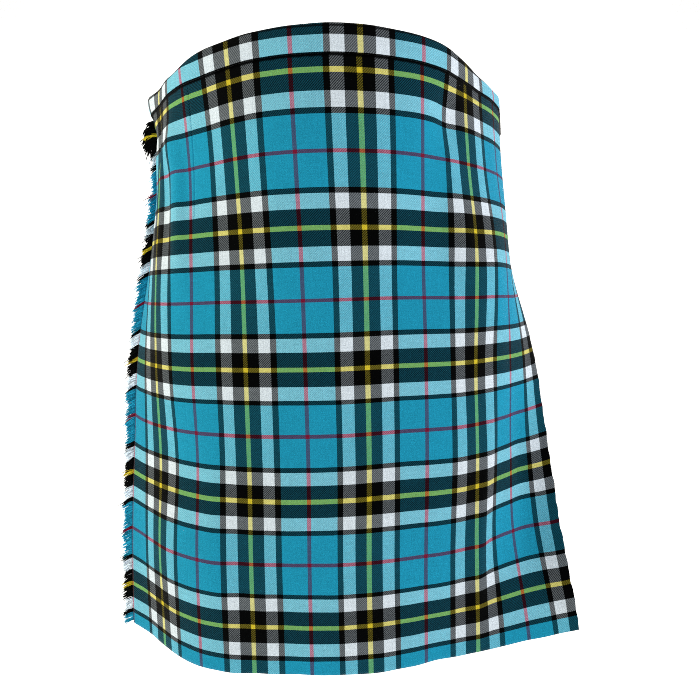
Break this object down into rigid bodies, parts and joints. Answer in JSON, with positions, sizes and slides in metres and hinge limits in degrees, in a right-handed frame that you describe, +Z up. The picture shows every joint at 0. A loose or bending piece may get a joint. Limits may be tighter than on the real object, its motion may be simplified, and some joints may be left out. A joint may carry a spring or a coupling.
{
  "type": "scottish kilt",
  "caption": "Worn tartan kilt: flat wrap-over front apron with a fringed edge, knife-pleated back, sewn waistband, side straps and buckles, open at waist and hem.",
  "frame": {"origin": "centre of the wearer's waist, 13.5 mm below the waistband's top edge at the front", "axes": "+Z up the wearer's body, -Y out of the front apron, +X towards the wearer's left"},
  "size_m": [0.5314, 0.3212, 0.6102],
  "materials": {
    "tartan_cloth": "twill-woven wool tartan in azure, black and white with thin yellow and red lines",
    "tartan_fringe": "frayed wool threads of the same tartan",
    "strap_leather": "smooth black strap leather with stitched edges",
    "buckle_steel": "polished steel wire"
  },
  "bodies": {
    "root": {"over_apron": "tartan_cloth", "under_apron": "tartan_cloth", "pleated_back": "tartan_cloth", "waistband_over": "tartan_cloth", "waistband_under": "tartan_cloth", "waistband_back": "tartan_cloth", "fringe": "tartan_fringe", "strap_right": "strap_leather", "strap_left": "strap_leather", "chape_right": "strap_leather", "chape_left": "strap_leather", "keeper_right": "strap_leather", "keeper_left": "strap_leather", "frame_right": "buckle_steel", "frame_left": "buckle_steel", "prong_right": "buckle_steel", "prong_left": "buckle_steel"}
  },
  "joints": []
}
